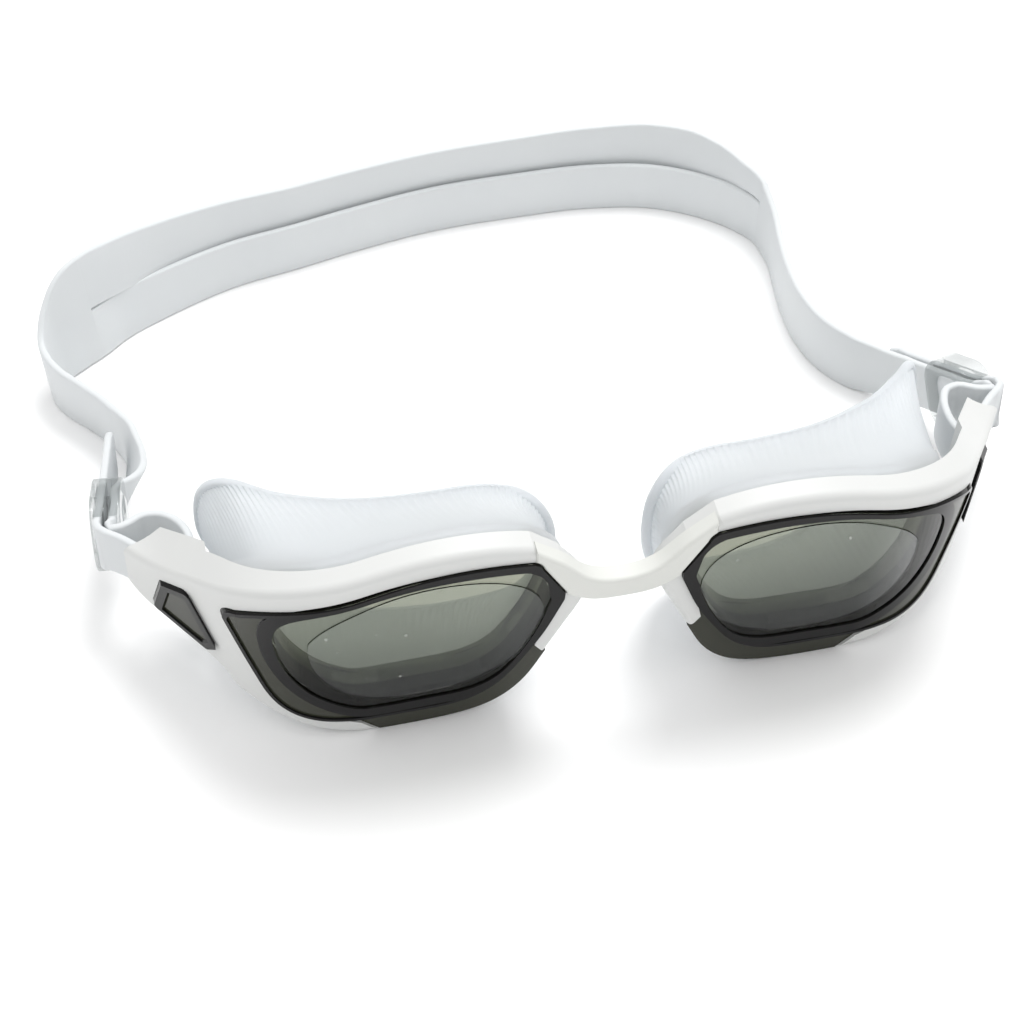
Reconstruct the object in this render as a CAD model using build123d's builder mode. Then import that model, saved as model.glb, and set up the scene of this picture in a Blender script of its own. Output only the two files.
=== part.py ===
from build123d import *
from math import cos, radians, sin, tan
import os

# Swim goggles: two framed eyepieces, a hooked nose bridge and a split head strap.
# Millimetres. +X runs across the face, +Y from the lenses to the back of the head, +Z up.
# Everything is drawn about a point on the table, in the mirror plane of the eyepieces and
# below the wing tips. The saved pieces are moved so that the origin is on the table, below
# the middle of the whole object. The eyepieces are drawn for the +X eye and mirrored.

# --- Stance ---
MIDDLE_X = -2.6        # middle of the whole object, from the point it is drawn about
MIDDLE_Y = 39.0
LEAN = 7.0             # the fronts lean forward at the top, in degrees
TIP_HEIGHT = 26.5      # top of the wing tips above the table

# --- Wrapped front, in plan ---
FRONT_FLAT = 44.4      # half width of the straight part of the front
FRONT_REACH = 32.6     # front face ahead of the wing tips
WRAP_RADIUS = 30.0     # bend from the front into the wing
WRAP_ANGLE = 55.5      # how far that bend turns, in degrees

# --- Frame ---
FRAME_DEPTH = 4.6      # front to back over the lens
WING_THICK = 5.8       # at the tip
WING_OVERLAP = 0.5     # the thick wings start this far before the end of the bend
CREST_TOP = 24.8       # highest point of the frame above the tip line
TIP_CORNER = 4.8       # rounding of the tip's lower corner
CREST_ROUND = 1.6      # rounding of the frame's outer edges
SEAT_GAP = 0.05        # between pieces that are pressed together

# --- Lens cup ---
PANE_THICK = 2.0
PANE_PROUD = 0.3       # pane stands in front of the frame
FLANGE_STEP = 0.5      # flange below the pane sits back from the frame's face
CUP_WALL = 1.5
CUP_DEPTH = 8.2        # from the frame's front face to the cup's rear edge
RIM_WIDTH = 2.4        # black ring round the window
RIM_LINE = 0.8         # thin black line along the pane's edge
RIM_PROUD = 0.35
FILM_THICK = 0.25

# --- Side window ---
TRIM_PROUD = 0.7
TRIM_SINK = 1.2
TRIM_WIDTH = 1.1
SIDE_PANE_PROUD = 0.3

# --- Gasket ---
GASKET_RING = 3.8      # depth of the ring behind the frame
GASKET_INSET = 1.8     # ring inside the frame's outline
GASKET_WALL = 1.5

# --- Strap, buckles and the slots that hold them ---
STRAP_THICK = 1.5
STRAP_END_HEIGHT = 10.0    # height of the strap's narrow ends
STRAP_HEIGHT = 13.5        # height of the single strap on the table
BAND_HEIGHT = 11.7         # height of the lower rear band
BAND_GAP = 0.3             # between the two bands, and at the slit's ends
SLOT_CLEAR = 0.3           # strap to slot, each side
SLOT_ROOF = 0.9            # wing above the slot, at the tip
SLOT_SILL = 1.1            # and below it
STRAP_OUT = 2.8            # the two strands leave the slot this far outside the wing tips
STRAP_BACK = 8.9           # and behind them
SWING_Y = -1.0             # the strap swings about the wings' bars
SWING_IN = 9.7             # the fixed loop ends this far from that axis
SWING_OUT = 10.0           # and the swinging strap starts here
SLOPE_Y = 4.0              # the strap starts to slope down here
BUCKLE_LENGTH = 15.0
BUCKLE_RAIL = 2.7          # walls above and below the tunnels
BUCKLE_LIP = 0.6           # outer walls of the buckle
BUCKLE_BAR = 1.0           # wall between its two tunnels
BUCKLE_CORNER = 5.0
BUCKLE_ROUND = 0.5
BUCKLE_WINDOW = 8.0
TUNNEL_CLEAR = 0.1         # strap to tunnel, on its flat sides
TUNNEL_SLACK = 0.4         # and at its edges
TAIL_LENGTH = 12.0         # free end beyond the buckle

# --- Nose bridge ---
BRIDGE_TOP = 12.2          # top of the bridge's saddle above the tip line
BRIDGE_LOW = 7.2           # underside of the saddle
BRIDGE_PROUD = 0.4         # the hooks stand this far in front of the frames
BRIDGE_SEAT = 1.4          # and are let into them this deep
BRIDGE_REAR = 2.4          # rear of the saddle behind the frames' front
BRIDGE_BOW = 0.5           # the saddle bows forward of its hooks
BRIDGE_ROUND = 0.7

BIG = 200.0
EYES = ("left", "right")

os.makedirs("parts", exist_ok=True)

# FACE is drawn in as seen from the front (x across, y up the leaning front).
# PLAN is drawn in as seen from above (x across, y back from the wing tips).
lean_sin, lean_cos = sin(radians(LEAN)), cos(radians(LEAN))
FACE = Plane(origin=(0, 0, TIP_HEIGHT), x_dir=(1, 0, 0), z_dir=(0, -lean_cos, -lean_sin))
PLAN = Plane(origin=(0, 0, TIP_HEIGHT), x_dir=(1, 0, 0), z_dir=(0, -lean_sin, lean_cos))

# The wing ends where its outer face reaches the tip line.
wrap_sin, wrap_cos = sin(radians(WRAP_ANGLE)), cos(radians(WRAP_ANGLE))
wing_x = FRONT_FLAT + WRAP_RADIUS * wrap_sin
wing_y = -FRONT_REACH + WRAP_RADIUS * (1 - wrap_cos)
TIP_X = wing_x - wing_y * wrap_cos / wrap_sin

# The slot fits the strap's end, and the wing's tip and the buckle fit round it.
slot_high = TIP_HEIGHT - SLOT_ROOF
slot_low = slot_high - STRAP_END_HEIGHT - 2 * SLOT_CLEAR
strap_mid = (slot_high + slot_low) / 2
wing_drop = TIP_HEIGHT - slot_low + SLOT_SILL
strand_step = (STRAP_THICK + BUCKLE_BAR) / 2 + TUNNEL_CLEAR
buckle_thick = 2 * (strand_step + STRAP_THICK / 2 + TUNNEL_CLEAR + BUCKLE_LIP)
buckle_height = STRAP_END_HEIGHT + 2 * BUCKLE_RAIL


def save(part, name):
    placed = part.moved(Location((-MIDDLE_X, -MIDDLE_Y, 0)))
    placed.label = name
    export_step(placed, f"parts/{name}.step")


def save_pair(right, name):
    """Write a piece of the +X eye, and its mirror image for the other eye."""
    save(right, f"{name}_right")
    with BuildPart() as left:
        mirror(right, about=Plane.YZ)
    save(left.part, f"{name}_left")


def wrapped_layer(near, far, far_tip=None, mode=Mode.ADD):
    """The layer between two depths behind the wrapped front face, cut off at the tip line."""
    tip_depth = far if far_tip is None else far_tip
    with BuildSketch(PLAN) as layer:
        with BuildLine():
            front = Line((0, near - FRONT_REACH), (FRONT_FLAT, near - FRONT_REACH))
            bend = JernArc(front @ 1, (1, 0), WRAP_RADIUS - near, WRAP_ANGLE)
            wing = Line(bend @ 1, (TIP_X - near / wrap_sin, 0))
            back = Line((0, far - FRONT_REACH), (FRONT_FLAT, far - FRONT_REACH))
            back_bend = JernArc(back @ 1, (1, 0), WRAP_RADIUS - far, WRAP_ANGLE)
            back_wing = Line(back_bend @ 1, (TIP_X - tip_depth / wrap_sin, 0))
            Line(front @ 0, back @ 0)
            Line(wing @ 1, back_wing @ 1)
        make_face()
    extrude(layer.sketch, amount=BIG, both=True, mode=mode)


def front_shape(outline, mode=Mode.INTERSECT):
    """A front-view outline, carried right through from front to back."""
    extrude(outline.sketch, amount=BIG, both=True, mode=mode)


def widened(outline, amount):
    """A copy of a front-view outline, grown or shrunk all round."""
    with BuildSketch() as grown:
        offset(outline.sketch_local, amount=amount)
    with BuildSketch(FACE) as wider:
        add(grown.sketch_local.to_splines())
    return wider


# --- Front-view outlines of the +X eye, x across and y up from the tip line ---
with BuildSketch(FACE) as frame_outline:
    with BuildLine():
        crest = Spline(
            (TIP_X + 0.4, -0.1), (TIP_X - 4, 1.8), (TIP_X - 9, 6.2), (wing_x - 3.1, 13.4),
            (wing_x - 12.1, 18.6), (47, CREST_TOP - 2.9), (38, CREST_TOP - 0.8), (28, CREST_TOP),
            (16, CREST_TOP - 1.8),
        )
        corner = Line(crest @ 1, (11, 18.5))
        nose = Spline(corner @ 1, (6.4, 9.5), (8.9, 2.0), (12.9, -6.8), tangents=((-0.5, -0.86), (0.42, -0.9)))
        belly = Spline(
            nose @ 1, (16.4, -14.2), (22.2, -20.1), (32, -22.5), (43, -22.7), (53, -21.6),
            (wing_x - 8.1, -18.6), (wing_x - 2.1, -15.1), (TIP_X - TIP_CORNER, -wing_drop),
            tangents=(nose % 1, (1, 0)),
        )
        tip_round = TangentArc(belly @ 1, (TIP_X + 0.4, TIP_CORNER - wing_drop), tangent=(1, 0))
        Line(tip_round @ 1, crest @ 0)
    make_face()

with BuildSketch(FACE) as pane_outline:
    with BuildLine():
        brow = Spline(
            (16, 20.2), (23, 20.9), (31, 20.8), (40, 19.4), (50, 16.4), (wing_x - 9.1, 12.7),
            (wing_x - 3.4, 8.8),
        )
        temple = Line((wing_x - 1.2, 5.2), (wing_x - 6.2, -9.6))
        ThreePointArc(brow @ 1, (wing_x - 1.5, 7.0), temple @ 0)
        jaw = Spline(temple @ 1, (wing_x - 9.7, -15.3), (52, -17.5), tangents=(temple % 1, (-1, -0.02)))
        sill = Line(jaw @ 1, (33, -17.4))
        chin = Spline(
            sill @ 1, (22.6, -13.8), (17, -6.0), (14.2, -0.8), (10.4, 9.0),
            tangents=((-1, 0.02), (-0.35, 0.94)),
        )
        Line(chin @ 1, (10.3, 10.8))
        Line((10.3, 10.8), (14.4, 18.2))
        RadiusArc((14.4, 18.2), brow @ 0, 2.6)
    make_face()

with BuildSketch(FACE) as window_outline:
    with BuildLine():
        top = Spline((17.4, 18.4), (28, 19.1), (40, 18.0), (50.4, 15.0), (wing_x - 11.4, 11.2), (wing_x - 8.9, 4.5))
        outer = Spline(
            top @ 1, (wing_x - 10.2, -2.5), (wing_x - 14.6, -9.2), (47.5, -13.4), (40, -14.1),
            tangents=(top % 1, (-1, 0)),
        )
        low = Line(outer @ 1, (30, -13.8))
        inner = Spline(low @ 1, (21.6, -10.4), (17, -3.0), (12.8, 9.4), tangents=((-1, 0.05), (-0.25, 0.97)))
        Line(inner @ 1, (13.4, 13.2))
        RadiusArc((13.4, 13.2), top @ 0, 6)
    make_face()

with BuildSketch(FACE) as flange_outline:
    Polygon(
        (14.5, -1.6), (15.1, -4.2), (13.6, -6.5), (9, -9), (18, -24), (42, -27), (43, -22.6),
        (46.2, -19.3), (50.5, -17.45), (40, -12), (20, -5), align=None,
    )
    add(frame_outline.sketch_local, mode=Mode.INTERSECT)

with BuildSketch(FACE) as film_outline:
    with BuildLine():
        over = Spline((14.0, 7.0), (16.8, 13.4), (28, 17.9), (41, 16.7), (50, 11.8), (54.5, 6.0))
        Spline(over @ 1, (50, -8), (30, -12.2), (18, -5), over @ 0)
    make_face()
    add(widened(window_outline, -2 * SEAT_GAP).sketch_local, mode=Mode.INTERSECT)

with BuildSketch(FACE) as gasket_outline:
    with BuildLine():
        Spline(
            (wing_x - 1.5, -2), (wing_x - 2.7, 8.0), (wing_x - 9.1, 14.6), (50, 19.4), (38, 22.2),
            (27, 23.0), (17, 21.2), (11, 16.5), (8.8, 9.5), (11, 1), (15.2, -6.5), (19.4, -14),
            (25, -18.8), (34, -20.7), (45, -20.8), (55, -18.9), (wing_x - 6.6, -14.6),
            (wing_x - 2.4, -9), periodic=True,
        )
    make_face()

with BuildSketch(FACE) as side_window_outline:
    Polygon(
        (TIP_X - 5.4, -0.5), (TIP_X - 9.5, 3.3), (TIP_X - 13.2, -6.8), (TIP_X - 11.6, -9.5),
        (TIP_X - 3.6, -9.7), align=None,
    )
    fillet(side_window_outline.vertices(), 0.6)

side_pane_outline = widened(side_window_outline, -TRIM_WIDTH)

with BuildSketch(FACE) as bridge_outline:
    with BuildLine():
        low = Spline((0, BRIDGE_LOW), (6.0, 7.8), (11.5, 11.2), tangents=((1, 0), (0.8, 0.6)))
        hook = Line(low @ 1, (16.0, 18.6))
        Line(hook @ 1, (15.6, 22.9))
        edge = Line((15.6, 22.9), (11.4, 19.4))
        Spline(edge @ 1, (6.2, 14.0), (0, BRIDGE_TOP), tangents=(edge % 1, (-1, 0)))
        Line((0, BRIDGE_TOP), (0, BRIDGE_LOW))
    make_face()
    add(widened(pane_outline, SEAT_GAP).sketch_local, mode=Mode.SUBTRACT)
    mirror(about=Plane.YZ)

bridge_face = -FRONT_REACH - BRIDGE_PROUD
saddle_rear = -FRONT_REACH + BRIDGE_REAR
seat_plane = FACE.offset(FRONT_REACH - BRIDGE_SEAT)


def eye_block(outline, near, far):
    """A front-view outline cut from the layer between two depths."""
    with BuildPart() as block:
        wrapped_layer(near, far)
        front_shape(outline)
    return block.part


def strap_geometry(side):
    """Side sign, heading inward and pitch downward of the strap as it leaves a wing."""
    return {"left": (-1, 7.0, 16.0), "right": (1, 18.0, 23.0)}[side]


def strap_point(side, shift=0.0, along=0.0):
    """A point in plan on a strand: shift outward from the buckle's middle, along the strap."""
    sign, heading, _ = strap_geometry(side)
    ahead = (-sin(radians(heading)), cos(radians(heading)))
    out = (cos(radians(heading)), sin(radians(heading)))
    x = TIP_X + STRAP_OUT + shift * out[0] + along * ahead[0]
    y = STRAP_BACK + shift * out[1] + along * ahead[1]
    return (sign * x, y)


def loop_line(side):
    """The strap's path from the buckle through the wing's slot, round its bar and back."""
    sign = strap_geometry(side)[0]
    bends = [(-2.7, 1.0), (-7.6, -6.3), (-11.0, -3.9), (-10.8, 4.6), (-0.2, 7.2)]
    points = [strap_point(side, strand_step, 4)]
    points += [strap_point(side, strand_step)]
    points += [(sign * (TIP_X + x), y) for x, y in bends]
    points += [strap_point(side, -strand_step), strap_point(side, -strand_step, 4)]
    return FilletPolyline(*points, radius=1.2)


def upright_band(side, width, low, high, mode=Mode.ADD):
    with BuildSketch(Plane.XY.offset(low)) as band:
        with BuildLine():
            path = loop_line(side)
        trace(path, line_width=width)
    extrude(band.sketch, amount=high - low, mode=mode)


# --- Frames ---
with BuildSketch(FACE) as wing_zone:
    with Locations((wing_x - WING_OVERLAP + 20, 0)):
        Rectangle(40, 80)

wing_pad = eye_block(wing_zone, 0, WING_THICK)
cup_hole = eye_block(widened(window_outline, CUP_WALL + 0.2), -3, FRAME_DEPTH + GASKET_RING + 3)
pane_seat = eye_block(pane_outline, -3, PANE_THICK + SEAT_GAP)
flange_seat = eye_block(flange_outline, -3, PANE_THICK + SEAT_GAP)
hook_seat = eye_block(bridge_outline, -3, BRIDGE_SEAT + SEAT_GAP)
side_seat = eye_block(side_window_outline, -3, TRIM_SINK + SEAT_GAP)

for side in EYES:
    with BuildPart() as frame:
        wrapped_layer(0, FRAME_DEPTH)
        add(wing_pad)
        front_shape(frame_outline)
        fronts = [face for face in frame.faces() if face.normal_at().Y < -0.3]
        edges = [edge for face in fronts for edge in face.edges()]
        fillet([edge for edge in edges if abs((edge % 0.5).dot(FACE.y_dir)) < 0.995], CREST_ROUND)
        for seat in (pane_seat, flange_seat, cup_hole, side_seat, hook_seat):
            add(seat, mode=Mode.SUBTRACT)
        if side == "left":
            mirror(about=Plane.YZ, mode=Mode.REPLACE)
        upright_band(side, STRAP_THICK + 2 * SLOT_CLEAR, slot_low, slot_high, mode=Mode.SUBTRACT)
    save(frame.part, f"frame_{side}")

# --- Lenses: pane, flange below it and the cup that goes through the frame ---
cup_shape = widened(window_outline, CUP_WALL)
lens_pane = eye_block(widened(pane_outline, -SEAT_GAP), -PANE_PROUD, PANE_THICK)
lens_flange = eye_block(widened(flange_outline, -SEAT_GAP), FLANGE_STEP, PANE_THICK)
cup = eye_block(cup_shape, PANE_THICK, CUP_DEPTH)
cup_inside = eye_block(window_outline, PANE_THICK, CUP_DEPTH + 2)

with BuildPart() as lens:
    add(lens_pane)
    add(lens_flange)
    add(cup)
    add(cup_inside, mode=Mode.SUBTRACT)
save_pair(lens.part, "lens")

# --- Black border bonded on the pane: a ring round the window and a line along the edge ---
with BuildSketch(FACE) as ring_outline:
    add(widened(window_outline, RIM_WIDTH).sketch_local)
    add(widened(pane_outline, -2 * SEAT_GAP).sketch_local, mode=Mode.INTERSECT)

with BuildSketch(FACE) as border_outline:
    add(widened(pane_outline, -2 * SEAT_GAP).sketch_local)
    add(widened(pane_outline, -RIM_LINE).sketch_local, mode=Mode.SUBTRACT)
    add(ring_outline.sketch_local)
    add(window_outline.sketch_local, mode=Mode.SUBTRACT)
save_pair(eye_block(border_outline, -PANE_PROUD - RIM_PROUD, -PANE_PROUD), "lens_rim")

# --- Oval protective film on the window ---
save_pair(eye_block(film_outline, -PANE_PROUD - FILM_THICK, -PANE_PROUD), "lens_film")

# --- Tinted side windows with a raised trim, let into the wings ---
with BuildSketch(FACE) as trim_outline:
    add(widened(side_window_outline, -SEAT_GAP).sketch_local)
    add(side_pane_outline.sketch_local, mode=Mode.SUBTRACT)
save_pair(eye_block(trim_outline, -TRIM_PROUD, TRIM_SINK), "side_window_trim")
side_pane = eye_block(widened(side_pane_outline, -SEAT_GAP), -SIDE_PANE_PROUD, TRIM_SINK)
save_pair(side_pane, "side_window")

# --- Gaskets: a ring behind the frame, flaring back to a lip that follows the face ---
gasket_ring = eye_block(gasket_outline, FRAME_DEPTH + SEAT_GAP, FRAME_DEPTH + GASKET_RING)


def cone_section(depth, nose, temple, top, bottom, inset):
    """One closed section of the flaring wall, in a plane parallel to the front."""
    left, right, high, low = nose + inset, temple - inset, top - inset, bottom + inset
    wide, tall, mid = right - left, high - low, (high + low) / 2
    with BuildSketch(FACE.offset(-depth)) as section:
        with BuildLine():
            Spline(
                (left, mid + 0.1 * tall), (left + 0.1 * wide, high - 0.12 * tall),
                (left + 0.34 * wide, high), (left + 0.66 * wide, high - 0.02 * tall),
                (right - 0.08 * wide, high - 0.16 * tall), (right, mid + 0.05 * tall),
                (right - 0.06 * wide, low + 0.2 * tall), (left + 0.7 * wide, low + 0.01 * tall),
                (left + 0.42 * wide, low), (left + 0.12 * wide, low + 0.22 * tall),
                periodic=True,
            )
        make_face()
    return section.sketch


def cone(inset):
    with BuildPart() as body:
        loft([
            cone_section(-27.5, 12.0, wing_x - 3.1, 20.5, -20.5, inset),
            cone_section(-11.0, 9.0, wing_x - 2.6, 13.6, -21.5, inset),
            cone_section(12.0, 3.0, wing_x + 0.9, 12.0, -24.0, inset),
        ])
    return body.part


cone_outside, cone_inside = cone(0), cone(GASKET_WALL)
ring_rear = FRAME_DEPTH + GASKET_RING - SEAT_GAP

with BuildPart() as gasket_wall:
    add(cone_outside)
    with BuildSketch(PLAN) as face_room:
        with BuildLine():
            back = Line((2, ring_rear - FRONT_REACH), (FRONT_FLAT, ring_rear - FRONT_REACH))
            bend = JernArc(back @ 1, (1, 0), WRAP_RADIUS - ring_rear, WRAP_ANGLE)
            side_edge = PolarLine(bend @ 1, 38, direction=bend % 1)
            face_curve = Spline(
                (wing_x + 2.9, 12.5), (wing_x + 0.2, 9.5), (wing_x - 5.1, 4.5), (58, 0), (45, -5),
                (30, -7.2), (16, -8.5),
                (8, -14.5), (2, -19.0),
            )
            Line(side_edge @ 1, face_curve @ 0)
            Line(face_curve @ 1, back @ 0)
        make_face()
    extrude(face_room.sketch, amount=BIG, both=True, mode=Mode.INTERSECT)

with BuildPart() as gasket:
    add(gasket_wall.part)
    add(gasket_ring)
    add(cone_inside, mode=Mode.SUBTRACT)
    add(cup_hole, mode=Mode.SUBTRACT)
save_pair(gasket.part, "gasket")

# --- Nose bridge: a saddle whose hooks are let into the frames beside the lens panes ---
with BuildPart() as nose_bridge:
    front_shape(bridge_outline, mode=Mode.ADD)
    with BuildSketch(PLAN) as saddle:
        with BuildLine():
            Polyline((-16, bridge_face), (-16, saddle_rear), (16, saddle_rear), (16, bridge_face))
            ThreePointArc((16, bridge_face), (0, bridge_face - BRIDGE_BOW), (-16, bridge_face))
        make_face()
    extrude(saddle.sketch, amount=BIG, both=True, mode=Mode.INTERSECT)
    fronts = [face for face in nose_bridge.faces() if face.normal_at().dot(FACE.z_dir) > 0.9]
    fillet([edge for face in fronts for edge in face.edges()], BRIDGE_ROUND)
    for about in (None, Plane.YZ):
        with BuildSketch(seat_plane) as behind:
            add(frame_outline.sketch_local)
            if about:
                mirror(about=about, mode=Mode.REPLACE)
        extrude(behind.sketch, amount=-BIG, mode=Mode.SUBTRACT)
save(nose_bridge.part, "nose_bridge")


# --- Head strap: a narrow end loops through each slot, the strap slopes to the table ---
def strap_slope(side):
    """Drop for each millimetre back, and half the upright height of the narrow strap."""
    _, heading, pitch = strap_geometry(side)
    drop = tan(radians(pitch)) / cos(radians(heading))
    return drop, STRAP_END_HEIGHT / 2 / cos(radians(pitch))


def strap_height(side, y):
    return strap_mid - (y - SLOPE_Y) * strap_slope(side)[0]


def strand_start(side):
    """Upper and lower corner, in the YZ view, where the swinging strap begins."""
    drop = strap_slope(side)[0]
    along = 1 / (1 + drop ** 2) ** 0.5
    reach = SWING_OUT - (SLOPE_Y - SWING_Y) * along
    y, z = SLOPE_Y + reach * along, strap_mid - reach * along * drop
    half = STRAP_END_HEIGHT / 2
    return (y + half * drop * along, z + half * along), (y - half * drop * along, z - half * along)


def strand(side, shift, length):
    """One straight strand of the narrow strap, from the swing line back through the buckle."""
    drop, half = strap_slope(side)
    upper, lower = strand_start(side)
    with BuildPart() as band:
        with BuildSketch() as plan:
            with BuildLine():
                Line(strap_point(side, shift, -4), strap_point(side, shift, length))
            trace(line_width=STRAP_THICK)
        extrude(plan.sketch, amount=40)
        with BuildSketch(Plane.YZ) as view:
            far = 60
            Polygon(
                lower, upper, (far, strap_height(side, far) + half),
                (far, strap_height(side, far) - half), align=None,
            )
        extrude(view.sketch, amount=BIG, both=True, mode=Mode.INTERSECT)
    return band.part


for side in EYES:
    drop, half = strap_slope(side)
    mid, end = strap_mid, STRAP_END_HEIGHT / 2
    with BuildPart() as strap_loop:
        upright_band(side, STRAP_THICK, 0, 40)
        with BuildSketch(Plane.YZ) as view:
            with Locations((SWING_Y, mid)):
                Circle(SWING_IN)
            Polygon(
                (-20, mid - end), (-20, mid + end), (SLOPE_Y - 1, mid + end),
                (SLOPE_Y + 1, mid + half - drop), (SLOPE_Y + 12, mid + half - 12 * drop),
                (SLOPE_Y + 12, mid - half - 12 * drop), (SLOPE_Y + 1, mid - half - drop),
                (SLOPE_Y - 1, mid - end), align=None, mode=Mode.INTERSECT,
            )
        extrude(view.sketch, amount=BIG, both=True, mode=Mode.INTERSECT)
    save(strap_loop.part, f"strap_loop_{side}")
    save(strand(side, strand_step, BUCKLE_LENGTH + TAIL_LENGTH), f"strap_tail_{side}")

def beside(curve, shift, count):
    """Points along a plan curve, moved sideways by shift."""
    points = []
    for step in range(count + 1):
        place, ahead = curve @ (step / count), curve % (step / count)
        points.append((place.X - shift * ahead.Y, place.Y + shift * ahead.X))
    return points


LEFT_RUN, RIGHT_RUN = 38.0, 23.4     # straight lengths from each buckle's front

with BuildLine(mode=Mode.PRIVATE):
    left_run = [strap_point("left", -strand_step, LEFT_RUN - back) for back in (8, 5, 2.5, 0)]
    right_run = [strap_point("right", -strand_step, RIGHT_RUN - back) for back in (0, 2, 4, 6)]
    round_head = Spline(
        *left_run, (-80.6, 55.5), (-83.6, 61), (-88.6, 65.8), (-92.2, 71.4), (-92.4, 76.4),
        (-86.5, 82.4), (-74.4, 91), (-62.6, 97), (-50.8, 101), (-36.1, 104.3), (-22, 107.6),
        (-5, 110.6), (14, 111.4), (32, 110.8), (45.8, 107.6), (56.2, 101.2), (62.4, 95.2),
        (65.3, 88.8), (65.7, 81.5), (64.7, 74), (63.6, 65.8), (63.4, 55), (65.3, 46.2),
        (69.2, 39.6), (73.6, 35.4), *right_run,
    )
    band_line = Spline(
        (-90.4, 79.2), (-86.5, 82.4), (-75.5, 92.5), (-63.5, 98.7), (-51.4, 102.7), (-36.5, 106.1),
        (-22.4, 109.4), (-5.2, 112.4), (14, 113.2), (32.2, 112.6), (46.6, 109.2), (57.5, 102.6),
        (63.8, 96.2), (65.5, 88.5), (65.7, 81.5),
    )

with BuildSketch() as strap_plan:
    with BuildLine():
        ends = []
        for shift in (-STRAP_THICK / 2, STRAP_THICK / 2):
            step = shift - strand_step
            first = Line(strap_point("left", step, -4), strap_point("left", step, LEFT_RUN - 8))
            last = Line(strap_point("right", step, RIGHT_RUN - 6), strap_point("right", step, -4))
            Spline(first @ 1, *beside(round_head, shift, 60)[1:-1], last @ 0)
            ends.append((first @ 0, last @ 1))
        Line(ends[0][0], ends[1][0])
        Line(ends[0][1], ends[1][1])
    make_face()

SLIT_LEFT, SLIT_RIGHT = 81.0, 88.5


def strap_view(side):
    """The strap's upper and lower edge in the YZ view, on one half of the head."""
    half = strap_slope(side)[1]
    upper, lower = strand_start(side)
    if side == "left":
        bend, touch = 36.0, 51.0
        crown = [(62, STRAP_HEIGHT), (70, 14.5), (73, 16.5), (76, 20), (79, 23.5), (SLIT_LEFT, 24.2)]
        slit = SLIT_LEFT
    else:
        bend, touch = 31.0, 37.0
        crown = [(74, STRAP_HEIGHT), (80, 14.3), (SLIT_RIGHT, 17.5)]
        slit = SLIT_RIGHT
    outline = [lower, upper, (bend, strap_height(side, bend) + half), (touch, STRAP_HEIGHT)]
    outline += crown + [(slit, BAND_HEIGHT), (130, BAND_HEIGHT), (130, 0), (touch, 0)]
    outline += [(bend, strap_height(side, bend) - half)]
    with BuildSketch(Plane.YZ) as view:
        Polygon(*outline, align=None)
    return view.sketch


with BuildPart() as halves:
    extrude(strap_view("left"), amount=-BIG)
    extrude(strap_view("right"), amount=BIG)

with BuildPart() as strap:
    extrude(strap_plan.sketch, amount=BIG, both=True)
    add(halves.part, mode=Mode.INTERSECT)
save(strap.part, "strap")

# The upper band leaves the strap's plane beyond each slit end and hangs behind the lower one.
with BuildPart() as upper_band:
    with BuildSketch() as band_plan:
        with BuildLine():
            inner = Spline(*beside(band_line, -STRAP_THICK / 2, 40))
            outer = Spline(*beside(band_line, STRAP_THICK / 2, 40))
            Line(inner @ 0, outer @ 0)
            Line(inner @ 1, outer @ 1)
        make_face()
    extrude(amount=BIG, both=True)
    base = BAND_HEIGHT + BAND_GAP
    with BuildSketch(Plane.XZ) as view:
        Polygon(
            (-95, base), (-72, base), (-45, 9.5), (-10, 8.5), (30, 8.5), (46, 10), (57, base), (75, base),
            (75, 17.5), (64.8, 17.5), (62, 20), (57, 22), (45, 21.8), (20, 20.5), (0, 20.2), (-40, 20.5),
            (-62, 21.5), (-78, 23.5), (-86, 24), (-95, 24), align=None,
        )
    extrude(view.sketch, amount=BIG, both=True, mode=Mode.INTERSECT)
    with BuildSketch() as slit_ends:
        for sign, slit in ((-1, SLIT_LEFT), (1, SLIT_RIGHT)):
            with Locations((sign * 75, slit + BAND_GAP + 30)):
                Rectangle(150, 60)
    extrude(slit_ends.sketch, amount=40, mode=Mode.INTERSECT)
save(upper_band.part, "strap_upper_band")

# --- Buckles: clear slides with a tunnel for each strand ---
for side in EYES:
    sign, heading, pitch = strap_geometry(side)
    level, dip = cos(radians(pitch)), sin(radians(pitch))
    x, y = strap_point(side, along=0.1 + BUCKLE_LENGTH / 2)
    lie = Plane(
        origin=(x, y, strap_height(side, y)),
        x_dir=(-sign * sin(radians(heading)) * level, cos(radians(heading)) * level, -dip),
        z_dir=(sign * cos(radians(heading)), sin(radians(heading)), 0),
    )
    with BuildPart() as buckle:
        with BuildSketch(lie):
            RectangleRounded(BUCKLE_LENGTH, buckle_height, BUCKLE_CORNER)
        extrude(amount=buckle_thick / 2, both=True)
        flats = [face for face in buckle.faces() if abs(face.normal_at().dot(lie.z_dir)) > 0.99]
        fillet([edge for face in flats for edge in face.edges()], BUCKLE_ROUND)
        tunnel = STRAP_THICK + 2 * TUNNEL_CLEAR
        for shift in (-strand_step, strand_step):
            with BuildSketch(lie.offset(shift)):
                Rectangle(BUCKLE_LENGTH + 2, STRAP_END_HEIGHT + 2 * TUNNEL_SLACK)
            extrude(amount=tunnel / 2, both=True, mode=Mode.SUBTRACT)
        with BuildSketch(lie):
            RectangleRounded(BUCKLE_WINDOW, STRAP_END_HEIGHT, 3)
        extrude(amount=buckle_thick, both=True, mode=Mode.SUBTRACT)
    save(buckle.part, f"buckle_{side}")
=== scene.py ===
from math import asin, cos, pi, radians, sin, tan

import bmesh
import bpy
from mathutils import Matrix, Vector


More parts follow.
